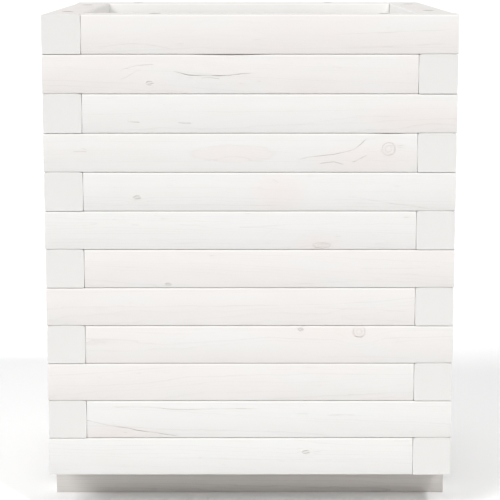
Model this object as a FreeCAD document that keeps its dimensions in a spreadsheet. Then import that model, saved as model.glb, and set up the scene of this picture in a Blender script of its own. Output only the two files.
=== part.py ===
import FreeCAD, Part
import os
import Sketcher
from FreeCAD import Placement, Rotation, Vector

# Square wooden planter, crib built: twelve courses of four pine battens laid in a pinwheel.
# Each batten runs past its neighbour at one end and stops against the other neighbour at the
# other end, and every second course is laid the other way round, so end grain and long grain
# take turns at each corner. Two skids carry the walls and a slatted floor.
# Frame: millimetres, +Z up, origin under the centre of the planter, front towards -Y.

doc = FreeCAD.newDocument("planter")
size = doc.addObject("Spreadsheet::Sheet", "Size")

DIMENSIONS = {
    # body
    "outer_width": 400,
    "outer_depth": 400,
    "course_count": 12,
    # wall battens
    "batten_width": 38,
    "course_height": 38,
    "face_crown": 0.4,
    "arris_radius": 1.0,
    "end_chamfer": 0.5,
    "butt_clearance": 0.3,
    # skids
    "skid_width": 38,
    "skid_height": 38,
    "skid_setback": 62,
    # slatted floor
    "board_count": 5,
    "board_thickness": 18,
    "board_gap": 4,
    "board_end_clearance": 1,
    # countersunk wood screws
    "frame_screw_length": 60,
    "frame_screw_shank": 4,
    "frame_screw_head": 8.6,
    "board_screw_length": 35,
    "board_screw_shank": 3.5,
    "board_screw_head": 7.2,
    "screw_point": 5,
    "head_sink": 0.4,
    "screw_clearance": 0.1,
    "pilot_spare_depth": 1,
    "drive_slot_width": 0.9,
    "drive_rim": 1.7,
    "drive_depth": 1.6,
    # places of the screws
    "corner_screw_offset": 8,
    "butt_screw_setback": 15,
    "rim_screw_inset": 70,
    "skid_screw_spacing": 20,
    "board_screw_edge": 14,
}
for row, (name, number) in enumerate(DIMENSIONS.items(), start=1):
    size.set(f"A{row}", name)
    size.set(f"B{row}", str(number))
    size.setAlias(f"B{row}", name)
doc.recompute()


def value(expression):
    """The number that an expression in the sheet's names comes to."""
    return float(size.evalExpression(expression))


def bind(target, path, expression):
    target.setExpression(path, expression)


# Sizes that several pieces share, worked out from the driving dimensions.
HALF = "(Size.batten_width / 2)"
INNER_WIDTH = "(Size.outer_width - 2 * Size.batten_width)"
INNER_DEPTH = "(Size.outer_depth - 2 * Size.batten_width)"
FRONT_LENGTH = "(Size.outer_width - Size.batten_width - Size.butt_clearance)"
SIDE_LENGTH = "(Size.outer_depth - Size.batten_width - Size.butt_clearance)"
BOARD_LENGTH = f"({INNER_DEPTH} - 2 * Size.board_end_clearance)"
BOARD_WIDTH = f"(({INNER_WIDTH} - (Size.board_count + 1) * Size.board_gap) / Size.board_count)"
SKID_LINE = "(Size.outer_depth / 2 - Size.skid_setback - Size.skid_width / 2)"
SKID_FROM_FACE = "(Size.skid_setback + Size.skid_width / 2)"
CORNER_SCREW = f"({HALF} + Size.corner_screw_offset)"
BUTT_SCREW_BELOW = "(Size.batten_width + Size.butt_clearance + Size.butt_screw_setback)"
FRAME_BORE = "(Size.frame_screw_shank + 2 * Size.screw_clearance)"
FRAME_SINK = "(Size.frame_screw_head + 2 * Size.head_sink + 2 * Size.screw_clearance)"
BOARD_BORE = "(Size.board_screw_shank + 2 * Size.screw_clearance)"
BOARD_SINK = "(Size.board_screw_head + 2 * Size.head_sink + 2 * Size.screw_clearance)"
SCREW_REACH = "(Size.head_sink + Size.frame_screw_length + Size.pilot_spare_depth)"
WALL_PILOT = f"({SCREW_REACH} - Size.course_height)"
SKID_PILOT = f"({SCREW_REACH} - Size.skid_height)"
BOARD_PILOT = (
    "(Size.head_sink + Size.board_screw_length + Size.pilot_spare_depth - Size.board_thickness)"
)
COUNTERSINK_ANGLE = 90


def origin_plane(body, role):
    return next(plane for plane in body.Origin.OriginFeatures if plane.Role == role)


def new_sketch(body, name, role):
    sketch = body.newObject("Sketcher::SketchObject", f"{body.Name}_{name}")
    sketch.AttachmentSupport = (origin_plane(body, role), [""])
    sketch.MapMode = "FlatFace"
    return sketch


def pin(sketch, geometry, end, place):
    """Hold one point of a sketch at a place given by two expressions."""
    for axis, expression in zip("XY", place):
        number = value(expression)
        ends = (-1, 1, geometry, end) if number >= 0 else (geometry, end, -1, 1)
        index = sketch.addConstraint(Sketcher.Constraint(f"Distance{axis}", *ends, abs(number)))
        signed = expression if number >= 0 else f"-({expression})"
        sketch.setExpression(f"Constraints[{index}]", signed)


def join_up(sketch, count):
    """Join the end of each of an outline's first lines and arcs to the start of the next."""
    for index in range(count):
        following = (index + 1) % count
        sketch.addConstraint(Sketcher.Constraint("Coincident", index, 2, following, 1))


def outline(sketch, places):
    """A closed outline of straight lines through places given as pairs of expressions."""
    points = [Vector(value(across), value(up), 0) for across, up in places]
    for index, place in enumerate(places):
        sketch.addGeometry(Part.LineSegment(points[index], points[(index + 1) % len(points)]))
        pin(sketch, index, 1, place)
    join_up(sketch, len(places))


def timber(label, length, width, height, crown=None):
    """A length of planed pine along its own X, its underside at Z 0, centred across.

    A crown swells both long faces into a shallow arc, as a planed batten has.
    """
    body = doc.addObject("PartDesign::Body", label)
    body.Label = label
    section = new_sketch(body, "section", "YZ_Plane")
    edge = f"({width} / 2 - {crown})" if crown else f"({width} / 2)"
    corners = [(f"-{edge}", "0"), (edge, "0"), (edge, height), (f"-{edge}", height)]
    if crown:
        low_left, low_right, high_right, high_left = (
            Vector(value(across), value(up), 0) for across, up in corners
        )
        belly = Vector(value(f"{width} / 2"), value(f"{height} / 2"), 0)
        section.addGeometry(Part.LineSegment(low_left, low_right))
        section.addGeometry(Part.Arc(low_right, belly, high_right))
        section.addGeometry(Part.LineSegment(high_right, high_left))
        section.addGeometry(Part.Arc(high_left, Vector(-belly.x, belly.y, 0), low_left))
        join_up(section, len(corners))
        pin(section, 0, 1, corners[0])
        pin(section, 0, 2, corners[1])
        pin(section, 2, 1, corners[2])
        pin(section, 2, 2, corners[3])
        radius = f"(({height} / 2) ^ 2 + {crown} ^ 2) / (2 * {crown})"
        for arc in (1, 3):
            index = section.addConstraint(Sketcher.Constraint("Radius", arc, value(radius)))
            section.setExpression(f"Constraints[{index}]", radius)
    else:
        outline(section, corners)
    stick = body.newObject("PartDesign::Pad", f"{label}_length")
    stick.Profile = section
    bind(stick, "Length", length)
    doc.recompute()
    rounds = body.newObject("PartDesign::Fillet", f"{label}_arrises")
    rounds.Base = (stick, lengthwise_edges(stick.Shape))
    bind(rounds, "Radius", "Size.arris_radius")
    doc.recompute()
    ends = body.newObject("PartDesign::Chamfer", f"{label}_ends")
    ends.Base = (rounds, end_faces(rounds.Shape))
    bind(ends, "Size", "Size.end_chamfer")
    doc.recompute()
    return body


def lengthwise_edges(shape):
    names = []
    for index, edge in enumerate(shape.Edges, start=1):
        if isinstance(edge.Curve, Part.Line) and abs(edge.Curve.Direction.x) > 0.99:
            names.append(f"Edge{index}")
    return names


def end_faces(shape):
    names = []
    for index, face in enumerate(shape.Faces, start=1):
        if isinstance(face.Surface, Part.Plane) and abs(face.Surface.Axis.x) > 0.99:
            names.append(f"Face{index}")
    return names


def drill(body, name, places, bore, depth=None, sink=None, top=None):
    """Drill round holes at places given as pairs of expressions in the body's own X and Y.

    They go up from the underside, or down from the face at height top. Without a depth they go
    right through, and sink is the width of a countersink at the face.
    """
    points = new_sketch(body, name, "XY_Plane")
    if top:
        bind(points, "AttachmentOffset.Base.z", top)
    else:
        points.MapReversed = True
    doc.recompute()
    radius = value(f"{bore} / 2")
    for index, (along, across) in enumerate(places):
        # seen from below, the sketch's own X runs the other way
        place = (along, across) if top else (f"-{along}", across)
        centre = Vector(value(place[0]), value(place[1]), 0)
        points.addGeometry(Part.Circle(centre, Vector(0, 0, 1), radius))
        pin(points, index, 3, place)
        held = points.addConstraint(Sketcher.Constraint("Radius", index, radius))
        points.setExpression(f"Constraints[{held}]", f"{bore} / 2")
    before = body.Shape.Volume
    hole = body.newObject("PartDesign::Hole", f"{body.Name}_{name}_bore")
    hole.Profile = points
    doc.recompute()
    hole.ThreadType = "None"
    bind(hole, "Diameter", bore)
    if depth:
        hole.DepthType = "Dimension"
        hole.DrillPoint = "Flat"
        bind(hole, "Depth", depth)
    else:
        hole.DepthType = "ThroughAll"
    if sink:
        hole.HoleCutType = "Countersink"
        hole.HoleCutCustomValues = True
        hole.HoleCutCountersinkAngle = COUNTERSINK_ANGLE
        bind(hole, "HoleCutDiameter", sink)
    doc.recompute()
    if body.Shape.Volume >= before:
        raise RuntimeError(f"{hole.Name} removes nothing")


def stand(body, across, along, up, turn):
    """Stand a body at a place given by expressions, turned about the vertical."""
    body.Placement = Placement(Vector(0, 0, 0), Rotation(Vector(0, 0, 1), turn))
    bind(body, "Placement.Base.x", across)
    bind(body, "Placement.Base.y", along)
    bind(body, "Placement.Base.z", up)


# Walls. Where each batten starts, as the outer corner that it runs past, and which way it runs.
# Odd courses, counted from the ground, follow one another anticlockwise seen from above, and
# even courses clockwise. Each course is screwed up into the next, at its corners and its butted
# ends. The top course is laid last and screwed down through the rim instead.
LEFT = "-(Size.outer_width / 2)"
RIGHT = "(Size.outer_width / 2)"
FRONT = "-(Size.outer_depth / 2)"
BACK = "(Size.outer_depth / 2)"
ODD_COURSE = {
    "front": (LEFT, f"{FRONT} + {HALF}", 0),
    "right": (f"{RIGHT} - {HALF}", FRONT, 90),
    "back": (RIGHT, f"{BACK} - {HALF}", 180),
    "left": (f"{LEFT} + {HALF}", BACK, 270),
}
EVEN_COURSE = {
    "front": (RIGHT, f"{FRONT} + {HALF}", 180),
    "right": (f"{RIGHT} - {HALF}", BACK, 270),
    "back": (LEFT, f"{BACK} - {HALF}", 0),
    "left": (f"{LEFT} + {HALF}", FRONT, 90),
}


def skid_screw_places():
    """Distances from an outer face to the skid screws, under a side batten of course one."""
    spread = "Size.skid_screw_spacing / 2"
    near = [f"({SKID_FROM_FACE} - {spread})", f"({SKID_FROM_FACE} + {spread})"]
    far = [f"(Size.outer_depth - {distance})" for distance in near]
    return near + far


def batten_length(side):
    return FRONT_LENGTH if side in ("front", "back") else SIDE_LENGTH


def rim_screw_places(side):
    """How far from its start a batten of the top course is screwed down."""
    return ["Size.rim_screw_inset", f"({batten_length(side)} - Size.rim_screw_inset)"]


def rim_pilot_places(side):
    """The same places on the batten below, which starts at the other outer corner."""
    reach = "Size.outer_width" if side in ("front", "back") else "Size.outer_depth"
    return [f"({reach} - {place})" for place in rim_screw_places(side)]


def wall_batten(course, side, start, inward, last):
    across, along, turn = start
    length = batten_length(side)
    batten = timber(
        f"course_{course:02d}_{side}_batten",
        length,
        "Size.batten_width",
        "Size.course_height",
        "Size.face_crown",
    )
    top = "Size.course_height"
    if course < last - 1:
        own = [(CORNER_SCREW, "0"), (f"({length} - Size.butt_screw_setback)", "0")]
        drill(batten, "screw_holes", own, FRAME_BORE, sink=FRAME_SINK)
    if 1 < course < last:
        below = [
            (HALF, f"({inward} * Size.corner_screw_offset)"),
            (BUTT_SCREW_BELOW, "0"),
        ]
        drill(batten, "pilot_holes", below, FRAME_BORE, depth=WALL_PILOT)
    if course == 1 and side in ("left", "right"):
        below = [(distance, "0") for distance in skid_screw_places()]
        drill(batten, "skid_pilot_holes", below, FRAME_BORE, depth=SKID_PILOT)
    if course == last - 1:
        above = [(place, "0") for place in rim_pilot_places(side)]
        drill(batten, "rim_pilot_holes", above, FRAME_BORE, depth=WALL_PILOT, top=top)
    if course == last:
        own = [(place, "0") for place in rim_screw_places(side)]
        drill(batten, "rim_screw_holes", own, FRAME_BORE, sink=FRAME_SINK, top=top)
    stand(batten, across, along, f"Size.skid_height + {course - 1} * Size.course_height", turn)
    return batten


COURSES = int(size.course_count)
walls = {}
for course in range(1, COURSES + 1):
    is_odd = course % 2 == 1
    for side, start in (ODD_COURSE if is_odd else EVEN_COURSE).items():
        inward = 1 if is_odd else -1
        walls[course, side] = wall_batten(course, side, start, inward, COURSES)


# Skids. They run from side to side under the walls, set back from the front and the back.
BOARDS = int(size.board_count)


def board_line(index):
    """How far across the planter the middle line of a floor board lies."""
    steps = f"{index} * ({BOARD_WIDTH} + Size.board_gap)"
    return f"(Size.board_gap + {BOARD_WIDTH} / 2 + {steps} - {INNER_WIDTH} / 2)"


def board_screw_lines(index):
    reach = f"({BOARD_WIDTH} / 2 - Size.board_screw_edge)"
    return [f"({board_line(index)} - {reach})", f"({board_line(index)} + {reach})"]


def skid(label, along):
    runner = timber(
        label, "Size.outer_width", "Size.skid_width", "Size.skid_height", "Size.face_crown"
    )
    spread = "(Size.skid_screw_spacing / 2)"
    ends = [HALF, f"(Size.outer_width - {HALF})"]
    fixings = [(end, sign + spread) for end in ends for sign in ("", "-")]
    drill(runner, "screw_holes", fixings, FRAME_BORE, sink=FRAME_SINK)
    pilots = [
        (f"({line} + Size.outer_width / 2)", "0")
        for index in range(BOARDS)
        for line in board_screw_lines(index)
    ]
    drill(runner, "pilot_holes", pilots, BOARD_BORE, depth=BOARD_PILOT, top="Size.skid_height")
    stand(runner, LEFT, along, "0", 0)
    return runner


skids = [skid("front_skid", f"-{SKID_LINE}"), skid("back_skid", SKID_LINE)]


# Floor. Slats from front to back on both skids, with drainage gaps between them.
def floor_board(index):
    board = timber(f"floor_board_{index + 1}", BOARD_LENGTH, BOARD_WIDTH, "Size.board_thickness")
    middle = f"({BOARD_LENGTH} / 2)"
    reach = f"({BOARD_WIDTH} / 2 - Size.board_screw_edge)"
    fixings = [
        (f"({middle} {skid_sign} {SKID_LINE})", sign + reach)
        for skid_sign in ("-", "+")
        for sign in ("", "-")
    ]
    top = "Size.board_thickness"
    drill(board, "screw_holes", fixings, BOARD_BORE, sink=BOARD_SINK, top=top)
    stand(board, board_line(index), f"-{middle}", "Size.skid_height", 90)
    return board


floor = [floor_board(index) for index in range(BOARDS)]


# Screws. One countersunk wood screw of each kind, with a cross recess in its head.
def wood_screw(label, length, shank, head):
    """A screw with the flat of its head at Z 0 and its point up, before it is placed."""
    body = doc.addObject("PartDesign::Body", label)
    profile = new_sketch(body, "profile", "XZ_Plane")
    outline(
        profile,
        [
            ("0", "0"),
            (f"({head} / 2)", "0"),
            (f"({shank} / 2)", f"(({head} - {shank}) / 2)"),
            (f"({shank} / 2)", f"({length} - Size.screw_point)"),
            ("0", length),
        ],
    )
    turned = body.newObject("PartDesign::Revolution", f"{label}_turned")
    turned.Profile = profile
    turned.ReferenceAxis = (profile, ["V_Axis"])
    turned.Angle = 360
    doc.recompute()
    before = body.Shape.Volume
    arm = f"({head} / 2 - Size.drive_rim)"
    half_slot = "(Size.drive_slot_width / 2)"
    slot = new_sketch(body, "drive", "XY_Plane")
    outline(
        slot,
        [
            (arm, f"-{half_slot}"),
            (arm, half_slot),
            (half_slot, half_slot),
            (half_slot, arm),
            (f"-{half_slot}", arm),
            (f"-{half_slot}", half_slot),
            (f"-{arm}", half_slot),
            (f"-{arm}", f"-{half_slot}"),
            (f"-{half_slot}", f"-{half_slot}"),
            (f"-{half_slot}", f"-{arm}"),
            (half_slot, f"-{arm}"),
            (half_slot, f"-{half_slot}"),
        ],
    )
    recess = body.newObject("PartDesign::Pocket", f"{label}_recess")
    recess.Profile = slot
    recess.Reversed = True
    bind(recess, "Length", "Size.drive_depth")
    doc.recompute()
    if body.Shape.Volume >= before:
        raise RuntimeError(f"{recess.Name} removes nothing")
    return body


def screw_group(label, screw, places):
    """Every screw of one kind and job, as a group of separate solids in one sub-part."""
    group = doc.addObject("Part::Feature", label)
    group.Label = label
    solids = []
    for spot in places:
        solid = screw.Shape.copy()
        solid.Placement = spot
        solids.append(solid)
    group.Shape = Part.makeCompound(solids)
    group.Placement = Placement()
    return group


frame_screw = wood_screw(
    "frame_screw", "Size.frame_screw_length", "Size.frame_screw_shank", "Size.frame_screw_head"
)
board_screw = wood_screw(
    "board_screw", "Size.board_screw_length", "Size.board_screw_shank", "Size.board_screw_head"
)
doc.recompute()

upright = Rotation()
head_up = Rotation(Vector(1, 0, 0), 180)
sink = value("Size.head_sink")
corner_spots = []
butt_spots = []
rim_spots = []
for (course, side), batten in walls.items():
    home = batten.Placement
    if course < COURSES - 1:
        corner = Vector(value(CORNER_SCREW), 0, sink)
        butt = Vector(value(f"{batten_length(side)} - Size.butt_screw_setback"), 0, sink)
        corner_spots.append(Placement(home.multVec(corner), upright))
        butt_spots.append(Placement(home.multVec(butt), upright))
    if course == COURSES:
        for place in rim_screw_places(side):
            head = Vector(value(place), 0, value("Size.course_height - Size.head_sink"))
            rim_spots.append(Placement(home.multVec(head), head_up))

skid_spots = []
board_spots = []
for skid_body in skids:
    line = skid_body.Placement.Base.y
    for side in (-1, 1):
        across = side * value(f"{RIGHT} - {HALF}")
        for row in (-1, 1):
            along = line + row * value("Size.skid_screw_spacing / 2")
            skid_spots.append(Placement(Vector(across, along, sink), upright))
    for index in range(BOARDS):
        for screw_line in board_screw_lines(index):
            head = Vector(value(screw_line), line, value("Size.skid_height + Size.board_thickness"))
            board_spots.append(Placement(head - Vector(0, 0, sink), head_up))

groups = [
    screw_group("corner_screws", frame_screw, corner_spots),
    screw_group("butt_end_screws", frame_screw, butt_spots),
    screw_group("rim_screws", frame_screw, rim_spots),
    screw_group("skid_screws", frame_screw, skid_spots),
    screw_group("floor_board_screws", board_screw, board_spots),
]
doc.recompute()

for thing in doc.Objects:
    if "Invalid" in thing.State or "Error" in thing.State:
        raise RuntimeError(f"{thing.Label} did not recompute: {thing.State}")

nodes = [*walls.values(), *skids, *floor, *groups]
for node in nodes:
    if node.Shape.isNull() or not node.Shape.isValid():
        raise RuntimeError(f"{node.Label} has no valid shape")

os.makedirs("parts", exist_ok=True)
for node in nodes:
    node.Shape.exportStep(os.path.join("parts", f"{node.Label}.step"))

bounds = FreeCAD.BoundBox()
for node in nodes:
    bounds.add(node.Shape.BoundBox)
print(f"{len(nodes)} sub-parts, {sum(len(node.Shape.Solids) for node in nodes)} solids")
print(f"{bounds.XLength:.1f} x {bounds.YLength:.1f} x {bounds.ZLength:.1f} mm")
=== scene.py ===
import math
import random

import bmesh
import bpy
import numpy
from mathutils import Matrix, Vector, noise


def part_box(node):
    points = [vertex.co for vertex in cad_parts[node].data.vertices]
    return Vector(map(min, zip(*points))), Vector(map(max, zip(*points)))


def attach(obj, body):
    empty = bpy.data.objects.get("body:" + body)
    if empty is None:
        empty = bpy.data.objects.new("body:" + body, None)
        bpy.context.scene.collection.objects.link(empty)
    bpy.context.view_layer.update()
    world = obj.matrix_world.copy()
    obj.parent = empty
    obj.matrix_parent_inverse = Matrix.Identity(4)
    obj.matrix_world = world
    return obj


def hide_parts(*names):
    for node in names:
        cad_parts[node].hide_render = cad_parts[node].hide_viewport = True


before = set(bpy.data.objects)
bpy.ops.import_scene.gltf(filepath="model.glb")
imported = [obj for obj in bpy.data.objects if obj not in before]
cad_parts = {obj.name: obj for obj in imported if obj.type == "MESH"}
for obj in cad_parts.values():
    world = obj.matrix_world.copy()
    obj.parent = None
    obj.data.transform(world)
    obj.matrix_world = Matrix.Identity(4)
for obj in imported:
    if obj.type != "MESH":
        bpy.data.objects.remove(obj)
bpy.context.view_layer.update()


# Wall battens.
# Planed pine, 38 mm square with eased arrises, washed white and stacked like a crib. In each
# course a batten runs past one neighbour, where its end grain shows, and butts on the other. The
# courses are screwed together from below, and the top one down through the rim.
MM = 0.001
PLAN_TURNS = {"front": 0, "right": 90, "back": 180, "left": 270}
COURSES = sum(name.endswith("_front_batten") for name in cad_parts)
BATTEN = 38.0
FACE_CROWN = 0.45
ARRIS = 0.9
ARRIS_STEPS = 3
END_EASING = 0.2
LENGTH_STEPS = 36
BED_MARGIN = 5.0
BED_RELIEF = 0.4
PLANER_WAVE = 0.1
PLANER_WAVELENGTH = 120.0
ARRIS_WEAR = 0.15
ARRIS_WEAR_LENGTH = 18.0
SMOOTH_BELOW = math.radians(40)
BUTT_CLOSING = 0.26
# How strongly the inner faces are lightened with painted light.
INNER_PAINTED_LIGHT = 0.8
SCREW_BORE = 4.2
SCREW_MOUTH = 9.6
CORNER_SCREW = 27.0
BUTT_SCREW = 15.0
RIM_SCREW = 70.0
STAIN_REACH = 6.3
OVERRUN = 1.0
HOLE_SIDES = 32
CUT_MERGE = 1e-6
DOUBLES_MERGE = 0.001
SLACK_SHARE = 0.01
PITH_ACROSS = (18, 70)
PITH_UP = (-45, 45)
GRAIN_LEAN = 0.03
LOG_SPACING = 900
SPOT_MARKS = ("knot", "pit", "eye", "flush", "dark_ring")
LINE_MARKS = ("line_a", "line_b", "line_c", "line_d")
NOWHERE = (99.0, 99.0, 0.0)


def cut(work, point, across):
    everything = work.verts[:] + work.edges[:] + work.faces[:]
    bmesh.ops.bisect_plane(
        work, geom=everything, dist=CUT_MERGE, plane_co=point, plane_no=across
    )


def plank(name, length, width, height, crown=0.0, relief=0.0):
    """Planed timber about the origin in metres, sized in millimetres, its grain along X.

    The side faces are crowned. The relief lowers the bed face next to its two long arrises, so
    that stacked battens part by a hairline there.
    """
    work = bmesh.new()
    bmesh.ops.create_cube(work, size=1)
    bmesh.ops.scale(work, vec=(length, width, height), verts=work.verts)
    arrises = [e for e in work.edges if abs((e.verts[0].co - e.verts[1].co).x) > length / 2]
    bmesh.ops.bevel(
        work,
        geom=arrises,
        offset=ARRIS,
        offset_type="OFFSET",
        affect="EDGES",
        segments=ARRIS_STEPS,
        profile=0.5,
        material=-1,
    )
    rims = [
        edge
        for edge in work.edges
        if abs(sum(vert.co.x for vert in edge.verts)) > length - END_EASING
    ]
    bmesh.ops.bevel(
        work,
        geom=rims,
        offset=END_EASING,
        offset_type="OFFSET",
        affect="EDGES",
        segments=1,
        profile=0.5,
        material=-1,
    )
    for step in range(1, LENGTH_STEPS):
        cut(work, (length * (step / LENGTH_STEPS - 0.5), 0, 0), (1, 0, 0))
    if crown:
        cut(work, (0, 0, 0), (0, 0, 1))
    if relief:
        for side in (-1, 1):
            cut(work, (0, side * (width / 2 - BED_MARGIN), 0), (0, 1, 0))
    bed = height / 2 - ARRIS * (1 + SLACK_SHARE)
    margin = width / 2 - BED_MARGIN * (1 - SLACK_SHARE)
    for vert in work.verts:
        rise = vert.co.z / (height / 2)
        if vert.co.z > bed and abs(vert.co.y) > margin:
            vert.co.z -= relief
        vert.co.y -= vert.co.y / (width / 2) * crown * rise * rise
    bmesh.ops.recalc_face_normals(work, faces=work.faces)
    bmesh.ops.scale(work, vec=(MM, MM, MM), verts=work.verts)
    mesh = bpy.data.meshes.new(name)
    work.to_mesh(mesh)
    work.free()
    piece = bpy.data.objects.new(name, mesh)
    bpy.context.scene.collection.objects.link(piece)
    return piece


def close_butt(piece, end):
    """Press the butted end against its neighbour, so that only a hairline stays open."""
    reach = max(vert.co.x for vert in piece.data.vertices)
    for vert in piece.data.vertices:
        if vert.co.x * end > reach - 2 * END_EASING * MM:
            vert.co.x += end * BUTT_CLOSING * MM


def drill(piece, places, face, bore, mouth):
    """Screw holes right through a plank, countersunk at its upper (1) or lower (-1) face."""
    top = max(vert.co.z for vert in piece.data.vertices) / MM
    profile = (
        (0, top + OVERRUN),
        (mouth / 2 + OVERRUN, top + OVERRUN),
        (bore / 2, top - (mouth - bore) / 2),
        (bore / 2, -top - OVERRUN),
        (0, -top - OVERRUN),
    )
    work = bmesh.new()
    for x, y in places:
        outline = [work.verts.new((x + out, y, up)) for out, up in profile]
        edges = [work.edges.new(pair) for pair in zip(outline, outline[1:])]
        bmesh.ops.spin(
            work,
            geom=outline + edges,
            cent=(x, y, 0),
            axis=(0, 0, 1),
            angle=math.tau,
            steps=HOLE_SIDES,
            use_merge=True,
        )
    bmesh.ops.remove_doubles(work, verts=work.verts, dist=DOUBLES_MERGE)
    bmesh.ops.scale(work, vec=(MM, MM, face * MM), verts=work.verts)
    bmesh.ops.recalc_face_normals(work, faces=work.faces)
    bit = bpy.data.objects.new("bit", bpy.data.meshes.new("bit"))
    work.to_mesh(bit.data)
    work.free()
    bpy.context.scene.collection.objects.link(bit)
    holes = piece.modifiers.new("holes", "BOOLEAN")
    holes.object = bit
    seen = piece.evaluated_get(bpy.context.evaluated_depsgraph_get())
    drilled = bpy.data.meshes.new_from_object(seen)
    piece.modifiers.clear()
    piece.data = drilled
    bpy.data.objects.remove(bit)


def weather(piece, seed, gap=None):
    """Leave the long waves of the planer and the uneven easing of the arrises in the mesh.

    A gap is given by its middle, half length and depth along the upper arris of the outer face.
    """
    reach = max(abs(vert.co.y) for vert in piece.data.vertices)
    top = max(vert.co.z for vert in piece.data.vertices)
    for vert in piece.data.vertices:
        along = vert.co.x / MM
        wave = noise.noise(Vector((along / PLANER_WAVELENGTH, seed, 0)))
        inward = PLANER_WAVE * (0.5 + 0.5 * wave)
        if abs(vert.co.z) > top - ARRIS * MM:
            worn = noise.noise(Vector((along / ARRIS_WEAR_LENGTH, seed, vert.co.z / MM)))
            inward += ARRIS_WEAR * (0.5 + 0.5 * worn)
        if gap and vert.co.z > top - BED_MARGIN * MM and vert.co.y < -reach + BED_MARGIN * MM:
            middle, half_length, depth = gap
            near = max(0, 1 - ((along - middle) / half_length) ** 2)
            vert.co.z -= depth * near * MM
        if abs(vert.co.y) > reach - 2 * ARRIS * MM:
            vert.co.y -= math.copysign(inward * MM, vert.co.y)


def write(mesh, name, rows):
    layer = mesh.attributes.new(name, "FLOAT_VECTOR", "POINT")
    layer.data.foreach_set("vector", numpy.asarray(rows, dtype=float).ravel())


def lay_grain(piece, seed, marks, blush, inner_painted_light=0.0):
    """Give a plank that still lies along X the coordinates that its wood pattern follows.

    The attribute timber is the place in the log, in millimetres from the pith, finish marks the
    end grain, the pink heartwood and the inner face, which gets painted light, and edge is the
    distance in from the side faces and down from the top. A knot, the pit of a small one, an eye
    of flat grain or a pink flush is given by its middle, its half length and its half height. So
    is the dark ring about each of the rim's screw holes, whose place counts from the plank's
    middle both ways. A check or a resin line is given by its strength and its points.
    """
    chance = random.Random(seed)
    mesh = piece.data
    spots = numpy.empty(len(mesh.vertices) * 3)
    mesh.vertices.foreach_get("co", spots)
    x, y, z = spots.reshape(-1, 3).T / MM
    pith_across = chance.uniform(*PITH_ACROSS) * chance.choice((-1, 1))
    pith_up = chance.uniform(*PITH_UP)
    lean_across = chance.uniform(-GRAIN_LEAN, GRAIN_LEAN)
    lean_up = chance.uniform(-GRAIN_LEAN, GRAIN_LEAN)
    log = (x + LOG_SPACING * seed, y - pith_across - lean_across * x, z - pith_up - lean_up * x)
    write(mesh, "timber", numpy.stack(log, 1))
    end = abs(x) > abs(x).max() - END_EASING / 2
    # The inner face, which the material lightens with painted light.
    inner = (y > y.max() - 2 * FACE_CROWN) & ~end
    write(mesh, "finish", numpy.stack((end, blush + 0 * x, inner * inner_painted_light), 1))
    write(mesh, "edge", numpy.stack((abs(y).max() - abs(y), z.max() - z, end), 1))
    for name in SPOT_MARKS:
        mark = marks.get(name)
        if not mark:
            write(mesh, name, [NOWHERE] * len(x))
            continue
        middle, rise, half_length, half_height = mark[:4]
        along = abs(x) if name == "dark_ring" else x
        across = y if mark[-1] == "top" else z
        rows = (along - middle) / half_length, (across - rise) / half_height, half_height + 0 * x
        write(mesh, name, numpy.stack(rows, 1))
    for name in LINE_MARKS:
        if name not in marks:
            write(mesh, name, [NOWHERE] * len(x))
            continue
        strength, *points = marks[name]
        along, up = numpy.array(points, dtype=float).T
        reach = (along[-1] - along[0]) / 2
        line = numpy.interp(x, along, up)
        rows = ((x - along[0]) / reach - 1, z - line, strength + 0 * x)
        write(mesh, name, numpy.stack(rows, 1))


def linear(code):
    """An sRGB hex colour as linear red, green, blue and alpha."""
    channels = [int(code[place : place + 2], 16) / 255 for place in (1, 3, 5)]
    return [c / 12.92 if c <= 0.04045 else ((c + 0.055) / 1.055) ** 2.4 for c in channels] + [1]


def add(tree, kind, inputs=None, **settings):
    """Add a node with its settings. An input takes a value, or a link from a node or socket."""
    made = tree.nodes.new(kind)
    for name, setting in settings.items():
        setattr(made, name, setting)
    for name, given in (inputs or {}).items():
        if isinstance(given, bpy.types.Node):
            given = next(socket for socket in given.outputs if socket.enabled)
        if isinstance(given, bpy.types.NodeSocket):
            tree.links.new(given, made.inputs[name])
        else:
            made.inputs[name].default_value = given
    return made


def new_material(name):
    material = bpy.data.materials.new(name)
    material.use_nodes = True
    return material, material.node_tree, material.node_tree.nodes["Principled BSDF"]


# White-washed pine: planed softwood under one thin coat of matt white. The wash evens the colour
# to a warm near-white, duller on end grain, and the top bed faces are darkened with painted shade.
# Hairlines of late wood about 2 mm apart show through, with a blush of pink, ringed knots, and
# short checks that the coat didn't fill.
EARLY_WOOD = "#DBD5CE"
LATE_WOOD = "#8F857D"
KNOT_WOOD = "#CAB9AF"
KNOT_RIM = "#8C7B71"
CHECK_SHADE = "#6A605A"
# A dark ring about each of the rim's screw holes.
DARK_RING_COLOUR = "#4A423D"
WASH = "#DBDBDA"
BLUSH_WASH = "#DCD7D5"
END_WASH = "#D7D6D4"
# Painted shade for the top bed faces.
TOP_FACE_SHADE = "#CECAC6"
# A whiter wash that paints light onto the inner faces and a highlight along the upper arrises.
PAINTED_LIGHT_WASH = "#F5F4F2"
WALL_COVER = (1.01, 1.15)
WASH_ROUGHNESS = (0.66, 0.5)
WASH_IOR = 1.46
RING_WIDTH = 1.5
LATE_WOOD_POWER = 5.0
GROWTH_POWER = 1.6
PIT_SLANT = 0.45
MARK_WOBBLE = 0.35
LINE_WOBBLE = 4.0
LINE_EDGE = 0.5
LINE_CORE = 0.05
LINE_FADES = 0.75
DASH_STRENGTH = 0.5
BED_STARTS = 0.9
BED_WHOLE = 0.45
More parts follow.
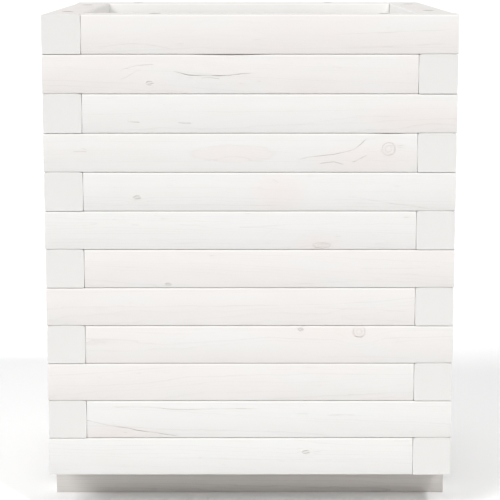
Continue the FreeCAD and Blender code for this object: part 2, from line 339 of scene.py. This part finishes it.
# Each cloud of the pattern: the length and width of its lumps in millimetres, and its detail.
CLOUDS = {
    "drift": (190.0, 30.0, 1.0),
    "ripple": (38.0, 6.0, 2.0),
    "cover": (75.0, 14.0, 3.0),
    "blush": (90.0, 24.0, 1.0),
    "streak": (46.0, 1.7, 2.0),
    "fibre": (24.0, 0.7, 3.0),
    "dash": (11.0, 0.7, 0.0),
    "torn": (55.0, 9.0, 1.0),
    "stray": (16.0, 5.0, 2.0),
    "grit": (1.6, 0.9, 1.0),
}
# The densities of a cloud between which it goes from nothing, or thin, to whole.
COVER_SPAN = (0.3, 0.7)
BLUSH_SPAN = (0.15, 0.65)
DASH_SPAN = (0.74, 0.86)
TORN_SPAN = (0.56, 0.7)
BREAK_SPAN = (0.4, 0.6)
BREAK_LEAST = 0.5
# Each band about a mark: its mark, and the distances, in half sizes of the mark, at which it is
# nothing and whole. The slit of a pit is measured across its own slanted line.
BANDS = {
    "knot": ("knot", 1.1, 0.9),
    "knot_outside": ("knot", 1.22, 1.05),
    "knot_inside": ("knot", 0.82, 1.0),
    "heart_outside": ("knot", 0.64, 0.52),
    "heart_inside": ("knot", 0.3, 0.44),
    "knot_halo": ("knot", 5.0, 0.6),
    "pit": ("pit", 1.1, 0.75),
    "slit_side": ("slit", 0.12, 0.45),
    "pit_halo": ("pit", 4.0, 0.6),
    "eye": ("eye", 1.2, 0.75),
    "eye_inside": ("eye", 0.86, 1.0),
    "eye_halo": ("eye", 1.5, 0.0),
    "flush": ("flush", 1.5, 0.2),
    "dark_ring": ("dark_ring", 1.15, 0.7),
}
# What shows only where two others meet.
MEETINGS = {
    "ring": ("knot_outside", "knot_inside"),
    "knot_rim": ("ring", "broken"),
    "heart": ("heart_outside", "heart_inside"),
    "eye_rim": ("eye", "eye_inside"),
    "lips": ("pit", "slit_side"),
}
# How far each pushes the growth rings outwards, in millimetres.
RING_SHIFTS = {"drift": 7.0, "ripple": 2.4, "knot_halo": 2.5, "pit_halo": 1.5, "eye_halo": 5.0}
# What darkens the bare wood, in order, with its strength and its colour.
WOOD_COLOURS = (
    ("late_wood", 1.0, LATE_WOOD),
    ("eye", 0.2, KNOT_WOOD),
    ("eye_rim", 0.6, LATE_WOOD),
    ("knot", 0.6, KNOT_WOOD),
    ("heart", 0.4, KNOT_RIM),
    ("knot_rim", 0.8, KNOT_RIM),
    ("lips", 1.0, KNOT_RIM),
    ("opened", 1.0, CHECK_SHADE),
)
# What thins the wash, and by how much of it.
WASH_LOSSES = {
    "streak": 0.2,
    "fibre": 0.24,
    "knot": 0.03,
    "knot_rim": 0.07,
    "pit": -0.1,
    "lips": 0.13,
    "eye_rim": 0.06,
    "opened": 0.35,
}
# How strongly a mark turns the wash pink about it.
PINK_MARKS = {"eye": 0.8, "flush": 1.0, "knot_halo": 0.5, "pit_halo": 0.3}
# What is laid over the common coat, in order, with its strength and its colour: painted shade,
# the duller end grain, painted light, a painted highlight and a dark ring.
TOP_COATS = (
    # Painted shade on the top bed faces.
    ("bed", 0.26, TOP_FACE_SHADE),
    ("end", 0.92, END_WASH),
    # Painted light on the inner faces.
    ("inner", 1.0, PAINTED_LIGHT_WASH),
    # A painted highlight along the upper arrises.
    ("arris_highlight", 0.22, PAINTED_LIGHT_WASH),
    # A dark ring about each of the rim's screw holes.
    ("dark_ring", 0.8, DARK_RING_COLOUR),
)
# The painted highlight along an upper arris: inwards, downwards and off the end, in millimetres.
ARRIS_HIGHLIGHT_SPANS = (("X", 1.2, 0.6), ("Y", 2.6, 1.4), ("Z", 0.5, 0.1))
# How proud each stands of the face, in millimetres.
RELIEFS = {
    "fibre": 0.05,
    "late_wood": 0.06,
    "grit": 0.03,
    "knot": 0.12,
    "heart": -0.2,
    "knot_rim": -0.35,
    "lips": -0.6,
    "eye_rim": -0.1,
    "opened": -0.4,
}


def washed_pine(name, wash, blush_wash, cover):
    material, tree, shader = new_material(name)
    log = add(tree, "ShaderNodeAttribute", attribute_name="timber").outputs["Vector"]
    finish = add(tree, "ShaderNodeAttribute", attribute_name="finish").outputs["Vector"]
    finish = add(tree, "ShaderNodeSeparateXYZ", {0: finish})
    masks = {"end": finish.outputs["X"], "inner": finish.outputs["Z"]}
    for cloud, (length, width, detail) in CLOUDS.items():
        lumps = add(
            tree,
            "ShaderNodeMapping",
            {"Vector": log, "Scale": (1 / length, 1 / width, 1 / width)},
        )
        masks[cloud] = add(
            tree, "ShaderNodeTexNoise", {"Vector": lumps, "Scale": 1.0, "Detail": detail}
        ).outputs["Fac"]

    # The marks: their distance in their own half sizes, and how knots push the grain aside.
    wobble = add(tree, "ShaderNodeMath", {0: masks["stray"], 1: 0.5}, operation="SUBTRACT")
    wobble = add(tree, "ShaderNodeMath", {0: wobble, 1: MARK_WOBBLE}, operation="MULTIPLY")
    push = 0.0
    distances = {}
    for mark in SPOT_MARKS:
        place = add(tree, "ShaderNodeAttribute", attribute_name=mark).outputs["Vector"]
        parts = add(tree, "ShaderNodeSeparateXYZ", {0: place})
        flat = add(tree, "ShaderNodeCombineXYZ", {"X": parts.outputs["X"], "Y": parts.outputs["Y"]})
        distance = add(tree, "ShaderNodeVectorMath", {0: flat}, operation="LENGTH")
        distances[mark] = add(tree, "ShaderNodeMath", {0: distance, 1: wobble}, operation="ADD")
        if mark not in ("knot", "pit"):
            continue
        if mark == "pit":
            slit = add(
                tree,
                "ShaderNodeMath",
                {0: parts.outputs["X"], 1: -PIT_SLANT, 2: parts.outputs["Y"]},
                operation="MULTIPLY_ADD",
            )
            distances["slit"] = add(tree, "ShaderNodeMath", {0: slit}, operation="ABSOLUTE")
        square = add(tree, "ShaderNodeMath", {0: distance, 1: 2.0}, operation="POWER")
        square = add(tree, "ShaderNodeMath", {0: square, 1: 1.0}, operation="MAXIMUM")
        shift = add(
            tree,
            "ShaderNodeMath",
            {0: parts.outputs["Y"], 1: parts.outputs["Z"]},
            operation="MULTIPLY",
        )
        shift = add(tree, "ShaderNodeMath", {0: shift, 1: square}, operation="DIVIDE")
        push = add(tree, "ShaderNodeMath", {0: push, 1: shift}, operation="ADD")
    for band, (mark, nothing, whole) in BANDS.items():
        masks[band] = add(
            tree,
            "ShaderNodeMapRange",
            {"Value": distances[mark], "From Min": nothing, "From Max": whole},
            interpolation_type="SMOOTHSTEP",
        )
    masks["broken"] = add(
        tree,
        "ShaderNodeMapRange",
        {
            "Value": masks["stray"],
            "From Min": BREAK_SPAN[0],
            "From Max": BREAK_SPAN[1],
            "To Min": BREAK_LEAST,
        },
    )
    for meeting, (one, other) in MEETINGS.items():
        masks[meeting] = add(
            tree, "ShaderNodeMath", {0: masks[one], 1: masks[other]}, operation="MULTIPLY"
        )

    # Growth rings: pale early wood that darkens to a sharp line of late wood at each ring's end.
    pushed = add(tree, "ShaderNodeCombineXYZ", {"Z": push})
    aside = add(tree, "ShaderNodeVectorMath", {0: log, 1: pushed}, operation="SUBTRACT")
    aside = add(tree, "ShaderNodeVectorMath", {0: aside, 1: (0, 1, 1)}, operation="MULTIPLY")
    radius = add(tree, "ShaderNodeVectorMath", {0: aside}, operation="LENGTH")
    for mask, reach in RING_SHIFTS.items():
        radius = add(
            tree,
            "ShaderNodeMath",
            {0: masks[mask], 1: reach, 2: radius},
            operation="MULTIPLY_ADD",
        )
    rings = add(tree, "ShaderNodeMath", {0: radius, 1: RING_WIDTH}, operation="DIVIDE")
    season = add(tree, "ShaderNodeMath", {0: rings}, operation="FRACT")
    year = add(tree, "ShaderNodeMath", {0: rings}, operation="FLOOR")
    growth = add(tree, "ShaderNodeTexWhiteNoise", {"W": year}, noise_dimensions="1D")
    growth = add(tree, "ShaderNodeMath", {0: growth, 1: GROWTH_POWER}, operation="POWER")
    late = add(tree, "ShaderNodeMath", {0: season, 1: LATE_WOOD_POWER}, operation="POWER")
    masks["late_wood"] = add(tree, "ShaderNodeMath", {0: late, 1: growth}, operation="MULTIPLY")

    # Dashes: short torn fibres and resin canals, found only in places.
    opened = DASH_STRENGTH
    for cloud, (nothing, whole) in (("dash", DASH_SPAN), ("torn", TORN_SPAN)):
        share = add(
            tree,
            "ShaderNodeMapRange",
            {"Value": masks[cloud], "From Min": nothing, "From Max": whole},
            interpolation_type="SMOOTHSTEP",
        )
        opened = add(tree, "ShaderNodeMath", {0: share, 1: opened}, operation="MULTIPLY")

    # Checks and resin lines: half a millimetre wide, wavering, and fading out at both ends.
    for mark in LINE_MARKS:
        place = add(tree, "ShaderNodeAttribute", attribute_name=mark).outputs["Vector"]
        parts = add(tree, "ShaderNodeSeparateXYZ", {0: place})
        offset = add(
            tree,
            "ShaderNodeMath",
            {0: wobble, 1: LINE_WOBBLE, 2: parts.outputs["Y"]},
            operation="MULTIPLY_ADD",
        )
        offset = add(tree, "ShaderNodeMath", {0: offset}, operation="ABSOLUTE")
        along = add(tree, "ShaderNodeMath", {0: parts.outputs["X"]}, operation="ABSOLUTE")
        line = masks["broken"]
        for distance, nothing, whole in ((offset, LINE_EDGE, LINE_CORE), (along, 1.0, LINE_FADES)):
            share = add(
                tree,
                "ShaderNodeMapRange",
                {"Value": distance, "From Min": nothing, "From Max": whole},
                interpolation_type="SMOOTHSTEP",
            )
            line = add(tree, "ShaderNodeMath", {0: share, 1: line}, operation="MULTIPLY")
        line = add(
            tree,
            "ShaderNodeMath",
            {0: line, 1: parts.outputs["Z"]},
            operation="MULTIPLY",
        )
        opened = add(tree, "ShaderNodeMath", {0: opened, 1: line}, operation="MAXIMUM")
    masks["opened"] = opened

    # The bare wood, dark on light.
    wood = linear(EARLY_WOOD)
    for mask, strength, code in WOOD_COLOURS:
        share = add(
            tree, "ShaderNodeMath", {0: masks[mask], 1: strength}, operation="MULTIPLY"
        )
        wood = add(
            tree, "ShaderNodeMix", {0: share, 6: wood, 7: linear(code)}, data_type="RGBA"
        )

    # The wash: thick and thin by patches and fibres, and thinner over knots, rims and checks.
    thickness = add(
        tree,
        "ShaderNodeMapRange",
        {
            "Value": masks["cover"],
            "From Min": COVER_SPAN[0],
            "From Max": COVER_SPAN[1],
            "To Min": cover[0],
            "To Max": cover[1],
        },
    )
    for mask, less in WASH_LOSSES.items():
        thickness = add(
            tree,
            "ShaderNodeMath",
            {0: masks[mask], 1: -less, 2: thickness},
            operation="MULTIPLY_ADD",
        )
    blush = add(
        tree,
        "ShaderNodeMapRange",
        {"Value": masks["blush"], "From Min": BLUSH_SPAN[0], "From Max": BLUSH_SPAN[1]},
    )
    blush = add(
        tree, "ShaderNodeMath", {0: blush, 1: finish.outputs["Y"]}, operation="MULTIPLY"
    )
    for mask, strength in PINK_MARKS.items():
        share = add(
            tree, "ShaderNodeMath", {0: masks[mask], 1: strength}, operation="MULTIPLY"
        )
        blush = add(tree, "ShaderNodeMath", {0: blush, 1: share}, operation="MAXIMUM")
    coat = add(
        tree,
        "ShaderNodeMix",
        {0: blush, 6: linear(wash), 7: linear(blush_wash)},
        data_type="RGBA",
    )
    painted = add(tree, "ShaderNodeMix", {0: thickness, 6: wood, 7: coat}, data_type="RGBA")

    # End grain drinks the wash and dries duller. The top bed faces are darkened with painted shade,
    # the inner faces are lightened with painted light, a painted highlight runs along the eased
    # upper arrises, and a dark ring is laid about each of the rim's screw holes.
    edge = add(tree, "ShaderNodeAttribute", attribute_name="edge").outputs["Vector"]
    edge = add(tree, "ShaderNodeSeparateXYZ", {0: edge})
    # Painted shade on the top bed faces, fading in over the upper arrises.
    masks["bed"] = add(
        tree,
        "ShaderNodeMapRange",
        {"Value": edge.outputs["Y"], "From Min": BED_STARTS, "From Max": BED_WHOLE},
        interpolation_type="SMOOTHSTEP",
    )
    # A painted highlight along each upper arris.
    arris_highlight = 1.0
    for axis, nothing, whole in ARRIS_HIGHLIGHT_SPANS:
        share = add(
            tree,
            "ShaderNodeMapRange",
            {"Value": edge.outputs[axis], "From Min": nothing, "From Max": whole},
            interpolation_type="SMOOTHSTEP",
        )
        arris_highlight = add(tree, "ShaderNodeMath", {0: share, 1: arris_highlight}, operation="MULTIPLY")
    masks["arris_highlight"] = arris_highlight
    for mask, strength, code in TOP_COATS:
        share = add(
            tree, "ShaderNodeMath", {0: masks[mask], 1: strength}, operation="MULTIPLY"
        )
        painted = add(
            tree, "ShaderNodeMix", {0: share, 6: painted, 7: linear(code)}, data_type="RGBA"
        )
    tree.links.new(painted.outputs[2], shader.inputs["Base Color"])

    rough = add(
        tree,
        "ShaderNodeMapRange",
        {
            "Value": masks["cover"],
            "From Min": COVER_SPAN[0],
            "From Max": COVER_SPAN[1],
            "To Min": WASH_ROUGHNESS[0],
            "To Max": WASH_ROUGHNESS[1],
        },
    )
    tree.links.new(rough.outputs[0], shader.inputs["Roughness"])
    shader.inputs["IOR"].default_value = WASH_IOR

    relief = 0.0
    for mask, height in RELIEFS.items():
        relief = add(
            tree,
            "ShaderNodeMath",
            {0: masks[mask], 1: height, 2: relief},
            operation="MULTIPLY_ADD",
        )
    bump = add(tree, "ShaderNodeBump", {"Height": relief, "Strength": 1.0, "Distance": MM})
    tree.links.new(bump.outputs["Normal"], shader.inputs["Normal"])
    return material


pine = washed_pine("white_washed_pine", WASH, BLUSH_WASH, WALL_COVER)

# What the front battens show. Places are millimetres right of the planter's middle and above
# the batten's middle line. A gap has its middle, half length and depth.
FRONT_MARKS = {
    12: {
        "line_a": (0.5, (-150, -13), (-115, -9), (-90, -11), (-70, -16)),
        "line_b": (0.35, (70, -1), (120, 1), (165, 3), (198, 4)),
        "line_c": (0.35, (90, -13), (130, -12), (190, -9)),
    },
    11: {
        "gap": (-20, 36, 0.7),
        "pit": (-96.5, -9, 3.8, 2.3),
        "line_a": (1.3, (-76, 4), (-64, -0.5), (-46, -1.5), (-20, -1.5), (-6, 0.5), (6, 0.5)),
        "line_b": (0.9, (-48, -4.5), (-38, -3.5), (-28, -4.5)),
        "line_c": (0.6, (-127, 1), (-118, 6), (-104, 9), (-90, 9)),
        "line_d": (0.5, (-126, -6), (-118, -3), (-112, 2), (-104, 5)),
    },
    10: {
        "flush": (165, -4, 60, 16),
        "line_a": (0.9, (-119, -8), (-106, -8.3)),
        "line_b": (0.9, (-70, -9), (-56, -9.4)),
        "line_c": (0.3, (-85, 8), (-62, 7.6)),
        "line_d": (0.35, (40, -12), (75, -7), (110, -3), (150, -3)),
    },
    9: {
        "knot": (134.5, 3.5, 6.2, 6.0),
        "eye": (-16.4, -1, 39, 8.2),
        "flush": (114, -6, 56, 15),
        "gap": (134, 15, 0.5),
        "line_a": (0.9, (44, -7), (60, -4), (84, -1), (100, 2), (108, 9), (117, 18)),
        "line_b": (0.7, (98, -10), (108, -6), (114, -1)),
        "line_c": (0.7, (66, -11), (80, -8), (92, -12)),
        "line_d": (0.5, (-165, 1.5), (-158, 1)),
    },
    8: {
        "pit": (-109.8, -5.9, 3.8, 2.1),
        "flush": (28, -2, 26, 20),
        "line_a": (0.5, (92, -4), (125, -10), (150, -13), (178, -17)),
        "line_b": (0.4, (22, 14), (28, 8)),
        "line_c": (0.25, (-160, -13), (-60, -14), (40, -13)),
    },
    7: {
        "flush": (66, -14, 22, 10),
        "knot": (70, -15, 8, 2.6),
        "line_a": (0.25, (10, -8), (20, -1), (28, 7), (33, 17)),
        "line_b": (0.3, (120, -13), (160, -12)),
    },
    6: {
        "pit": (-80, -15.5, 3.4, 1.4),
        "line_a": (0.35, (-128, -2), (-122, -2.5)),
        "line_b": (0.35, (104, 0), (165, 0.5)),
        "line_c": (0.3, (30, -16), (90, -13), (140, -11)),
    },
    5: {
        "line_a": (0.25, (60, -1), (120, -3), (160, -5)),
        "line_b": (0.25, (90, -12), (160, -15)),
    },
    4: {
        "flush": (78, 12, 55, 12),
        "knot": (107.5, 12.6, 5.8, 5.4),
        "pit": (50, 15, 3.0, 2.0),
        "line_a": (0.3, (60, -13), (100, -12), (160, -14)),
        "line_b": (0.8, (102, 9), (106, 6.9), (110, 7.3), (113, 10), (114, 15)),
    },
    3: {
        "line_a": (0.25, (0, 12.5), (80, 13), (160, 12)),
        "line_b": (0.25, (40, 9), (120, 8)),
    },
    2: {
        "flush": (-132, -15, 38, 9),
        "line_a": (
            1.0,
            (-172, 0),
            (-161, -1),
            (-143, -6),
            (-120, -9),
            (-105, -12.5),
            (-92, -14),
            (-66, -18),
        ),
        "line_b": (0.7, (-150, 12.5), (-103, 12.5), (-70, 10), (-35, 10.5), (14, 11)),
        "line_c": (0.6, (46, 5.5), (58, 5.2)),
        "line_d": (0.6, (76, 4), (90, 4.6), (106, 4.5)),
    },
    1: {
        "pit": (56, 4, 3.6, 2.0),
        "line_a": (0.3, (-110, -2), (0, -3), (150, -4.5)),
    },
}
FRONT_BLUSH = {12: 0.8, 11: 0.8, 10: 0.2, 9: 0.3, 8: 0.1, 7: 0.1, 6: 0.75, 5: 0.75, 4: 0.7, 3: 0.7}
# What the side battens of the rim show. With "top", places are along and across the bed face.
RIM_MARKS = {
    "left": {"flush": (0, 0, 150, 24, "top")},
    "right": {"eye": (20, 4, 80, 10, "top")},
}
RIM_BLUSH = {"left": 1.0, "right": 0.5}
# The marks of a plank that the front view doesn't show: how often it has one, its half sizes,
# and how far from the middle it may lie, along and up.
UNSEEN_BLUSHES = (0.1, 0.3, 0.7, 0.9)
KNOT_ODDS = 0.45
KNOT_SIZES = (3, 6.5)
KNOT_HEIGHT_SHARE = 0.95
KNOT_SPREAD = (150, 12)
PIT_ODDS = 0.3
PIT_SIZE = (3.2, 2.0)
PIT_SPREAD = (150, 14)
EYE_ODDS = 0.35
EYE_SIZE = (38, 8)
EYE_SPREAD = (110, 5)
LINE_ODDS = 0.5
LINE_STARTS = (-160, 60)
LINE_RISE = 14
LINE_STEP = 22
LINE_STEPS = 4
LINE_SWAY = 1.5
LINE_STRENGTHS = (0.3, 0.7)


def chance_marks(seed):
    chance = random.Random(seed)
    marks = {}
    if chance.random() < KNOT_ODDS:
        size = chance.uniform(*KNOT_SIZES)
        place = [chance.uniform(-reach, reach) for reach in KNOT_SPREAD]
        marks["knot"] = (*place, size, size * KNOT_HEIGHT_SHARE)
    if chance.random() < PIT_ODDS:
        place = [chance.uniform(-reach, reach) for reach in PIT_SPREAD]
        marks["pit"] = (*place, *PIT_SIZE)
    if chance.random() < EYE_ODDS:
        place = [chance.uniform(-reach, reach) for reach in EYE_SPREAD]
        marks["eye"] = (*place, *EYE_SIZE)
    for name in LINE_MARKS[:2]:
        if chance.random() < LINE_ODDS:
            start = chance.uniform(*LINE_STARTS)
            rise = chance.uniform(-LINE_RISE, LINE_RISE)
            strength = chance.uniform(*LINE_STRENGTHS)
            along = [start + LINE_STEP * step for step in range(LINE_STEPS)]
            points = [(x, rise + chance.uniform(-LINE_SWAY, LINE_SWAY)) for x in along]
            marks[name] = (strength, *points)
    return marks


def settle(piece, node, turn, material):
    """Bring a finished plank to its node's place and let it stand for the node."""
    low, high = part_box(node)
    place = Matrix.Translation((low + high) / 2) @ Matrix.Rotation(math.radians(turn), 4, "Z")
    piece.data.transform(place)
    piece.data.shade_smooth()
    piece.data.set_sharp_from_angle(angle=SMOOTH_BELOW)
    piece.data.materials.append(material)
    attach(piece, "root")
    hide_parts(node)


def shifted(marks, middle):
    """Marks given from the planter's middle, as seen from a front batten's own middle."""
    moved = {}
    for name, mark in marks.items():
        if name.startswith("line"):
            moved[name] = (mark[0], *[(x - middle, z) for x, z in mark[1:]])
        else:
            moved[name] = (mark[0] - middle, *mark[1:])
    return moved


for course in range(1, COURSES + 1):
    for order, (side, turn) in enumerate(PLAN_TURNS.items()):
        node = f"course_{course:02d}_{side}_batten"
        seed = len(PLAN_TURNS) * course + order
        low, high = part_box(node)
        length = max((high - low).x, (high - low).y) / MM
        piece = plank(f"washed_{node}", length, BATTEN, BATTEN, FACE_CROWN, BED_RELIEF)
        if course == 1:
            places = ((CORNER_SCREW - length / 2, 0), (length / 2 - BUTT_SCREW, 0))
            drill(piece, places, -1, SCREW_BORE, SCREW_MOUTH)
        elif course == COURSES:
            places = [(sign * (length / 2 - RIM_SCREW), 0) for sign in (-1, 1)]
            drill(piece, places, 1, SCREW_BORE, SCREW_MOUTH)
        blush = random.Random(seed).choice(UNSEEN_BLUSHES)
        marks = chance_marks(seed)
        if side == "front":
            blush = FRONT_BLUSH.get(course, 0.0)
            marks = shifted(FRONT_MARKS[course], (low + high).x / 2 / MM)
        elif course == COURSES:
            marks = RIM_MARKS.get(side, {})
            blush = RIM_BLUSH.get(side, blush)
        if course == COURSES:
            # A dark ring about each of the rim's screw holes.
            dark_ring_place = (length / 2 - RIM_SCREW, 0, STAIN_REACH, STAIN_REACH, "top")
            marks = {**marks, "dark_ring": dark_ring_place}
        weather(piece, seed, marks.get("gap"))
        lay_grain(piece, seed, marks, blush, INNER_PAINTED_LIGHT)
        close_butt(piece, 1 if course % 2 else -1)
        settle(piece, node, turn, pine)


# Skids.
# Two battens of the same pine under the walls, set back from the front and the back and washed
# more thinly in a darker wash: partly their own duller tone, partly painted shade from the walls
# above them. They keep the floor boards and the bottom course off the wet ground, and are screwed
# up into the walls.
# A darker wash: partly the skids' own duller tone, partly painted shade from the walls above them.
SKID_WASH_AND_SHADE = "#D6D3D0"
SKID_BLUSH_WASH_AND_SHADE = "#D6CFCA"
SKID_COVER = (0.94, 1.02)
SKID_BLUSH = 0.4
SKID_SCREW_SPACING = 20.0
SKID_SEED = 71
skid_pine_and_shade = washed_pine("washed_and_shaded_pine_of_skids", SKID_WASH_AND_SHADE, SKID_BLUSH_WASH_AND_SHADE, SKID_COVER)
for order, node in enumerate(("front_skid", "back_skid")):
    low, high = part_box(node)
    length = (high - low).x / MM
    piece = plank(f"washed_{node}", length, BATTEN, BATTEN, FACE_CROWN)
    ends = (BATTEN / 2 - length / 2, length / 2 - BATTEN / 2)
    places = [(end, side * SKID_SCREW_SPACING / 2) for end in ends for side in (-1, 1)]
    drill(piece, places, -1, SCREW_BORE, SCREW_MOUTH)
    weather(piece, SKID_SEED + order)
    lay_grain(piece, SKID_SEED + order, {}, SKID_BLUSH)
    settle(piece, node, 180 * order, skid_pine_and_shade)


# Floor boards.
# Five thin pine boards laid across both skids with drainage gaps between them, each held by two
# countersunk screws at either end. They carry the pot or the soil and are washed like the walls.
BOARD_BORE = 3.7
BOARD_MOUTH = 8.2
BOARD_SCREW_EDGE = 14.0
BOARD_COVER = (1.0, 1.1)
BOARD_BLUSH = 0.3
BOARD_SEED = 80
floor_pine = washed_pine("white_washed_pine_of_floor", WASH, BLUSH_WASH, BOARD_COVER)
BOARDS = sum(name.startswith("floor_board_") and name[-1].isdigit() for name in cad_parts)
for index in range(1, BOARDS + 1):
    node = f"floor_board_{index}"
    low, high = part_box(node)
    span = (high - low) / MM
    piece = plank(f"washed_{node}", span.y, span.x, span.z)
    low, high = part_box("back_skid")
    line = (low + high).y / 2 / MM
    rows = (span.x / 2 - BOARD_SCREW_EDGE, BOARD_SCREW_EDGE - span.x / 2)
    places = [(end, row) for end in (-line, line) for row in rows]
    drill(piece, places, 1, BOARD_BORE, BOARD_MOUTH)
    seed = BOARD_SEED + index
    lay_grain(piece, seed, chance_marks(seed), BOARD_BLUSH)
    settle(piece, node, 90, floor_pine)


# Screws.
# Countersunk wood screws with a cross recess, headed from steel wire and sunk just below the
# wood: up through the skids and the courses, and down through the rim and the floor boards.

# Zinc-plated steel: a thin bright coat with a cold tint that dries in duller, warmer patches.
ZINC = "#C9CDD1"
DULL_ZINC = "#B2B2AB"
ZINC_PATCH = 1.5
ZINC_DETAIL = 3.0
BRIGHT_ROUGHNESS = 0.24
DULL_ROUGHNESS = 0.46
zinc, tree, shader = new_material("zinc_plated_steel")
place = add(tree, "ShaderNodeTexCoord").outputs["Object"]
patches = add(
    tree,
    "ShaderNodeTexNoise",
    {"Vector": place, "Scale": 1 / (ZINC_PATCH * MM), "Detail": ZINC_DETAIL},
)
tint = add(
    tree,
    "ShaderNodeMix",
    {0: patches, 6: linear(ZINC), 7: linear(DULL_ZINC)},
    data_type="RGBA",
)
tree.links.new(tint.outputs[2], shader.inputs["Base Color"])
rough = add(
    tree,
    "ShaderNodeMapRange",
    {"Value": patches, "To Min": BRIGHT_ROUGHNESS, "To Max": DULL_ROUGHNESS},
)
tree.links.new(rough.outputs[0], shader.inputs["Roughness"])
shader.inputs["Metallic"].default_value = 1.0
for name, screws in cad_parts.items():
    if name.endswith("_screws"):
        screws.material_slots[0].material = zinc


# Studio floor.
# Matt white paper, laid far enough out on every side that its edge melts into the bright
# backdrop. It shows nothing but the planter's soft shadow.
PAPER = "#FCFCFC"
PAPER_ROUGHNESS = 0.9
PAPER_SPAN = 60.0
paper, tree, shader = new_material("white_paper")
shader.inputs["Base Color"].default_value = linear(PAPER)
shader.inputs["Roughness"].default_value = PAPER_ROUGHNESS
bpy.ops.mesh.primitive_plane_add(size=PAPER_SPAN)
studio_floor = bpy.context.object
studio_floor.name = "studio_floor"
studio_floor.data.materials.append(paper)


# Studio light.
# A dim white room with a low, bright backdrop behind and beside the planter, and four lamps. Each
# lamp has the way towards it, the light that it gives the floor, and its width in degrees.
ROOM_WHITE = "#FFFFFF"
ROOM_LIGHT = 0.17
BACKDROP_LIGHT = 0.95
BACKDROP_FOOT = math.sin(math.radians(10))
BACKDROP_TOP = math.sin(math.radians(50))
BACKDROP_STARTS = -0.75
BACKDROP_WHOLE = 0.1
LAMPS = {
    "key": ((-0.84, -0.75, 1.0), 0.4, 30),
    "fill": ((0.45, -0.6, 1.0), 0.3, 7),
    "front": ((0.0, -2.7, 1.0), 0.024, 3),
    "top": ((0.0, 0.2, 1.0), 0.18, 60),
}
world = bpy.data.worlds.new("studio")
bpy.context.scene.world = world
world.use_nodes = True
tree = world.node_tree
room = add(tree, "ShaderNodeTexCoord").outputs["Generated"]
room = add(tree, "ShaderNodeSeparateXYZ", {0: room})
backdrop = BACKDROP_LIGHT
for axis, nothing, whole in (
    ("Z", BACKDROP_TOP, BACKDROP_FOOT),
    ("Y", BACKDROP_STARTS, BACKDROP_WHOLE),
):
    share = add(
        tree,
        "ShaderNodeMapRange",
        {"Value": room.outputs[axis], "From Min": nothing, "From Max": whole},
        interpolation_type="SMOOTHSTEP",
    )
    backdrop = add(tree, "ShaderNodeMath", {0: share, 1: backdrop}, operation="MULTIPLY")
light = add(tree, "ShaderNodeMath", {0: backdrop, 1: ROOM_LIGHT}, operation="ADD")
tree.nodes["Background"].inputs["Color"].default_value = linear(ROOM_WHITE)
tree.links.new(light.outputs[0], tree.nodes["Background"].inputs["Strength"])

for name, (towards, level, softness) in LAMPS.items():
    data = bpy.data.lights.new(name, "SUN")
    data.energy = level * math.pi * Vector(towards).length
    data.angle = math.radians(softness)
    lamp = bpy.data.objects.new(name, data)
    bpy.context.scene.collection.objects.link(lamp)
    lamp.rotation_mode = "QUATERNION"
    lamp.rotation_quaternion = Vector(towards).to_track_quat("Z", "Y")


# Camera.
# Straight in front, 1.7 m off and a little above the rim, with a long lens, as in the photograph,
# and aimed near the middle of the front.
CAMERA_PLACE = Vector((-2.7, -1884.6, 553.1)) * MM
CAMERA_AIM = Vector((0.0, -200.0, 265.6)) * MM
SENSOR_WIDTH = 36.0
FOCAL_LENGTH = 126.0
camera = bpy.data.objects.new("camera", bpy.data.cameras.new("camera"))
bpy.context.scene.collection.objects.link(camera)
camera.data.sensor_width = SENSOR_WIDTH
camera.data.lens = FOCAL_LENGTH
camera.location = CAMERA_PLACE
camera.rotation_mode = "QUATERNION"
camera.rotation_quaternion = (CAMERA_AIM - CAMERA_PLACE).to_track_quat("-Z", "Y")
bpy.context.scene.camera = camera
bpy.context.scene.view_settings.view_transform = "Standard"
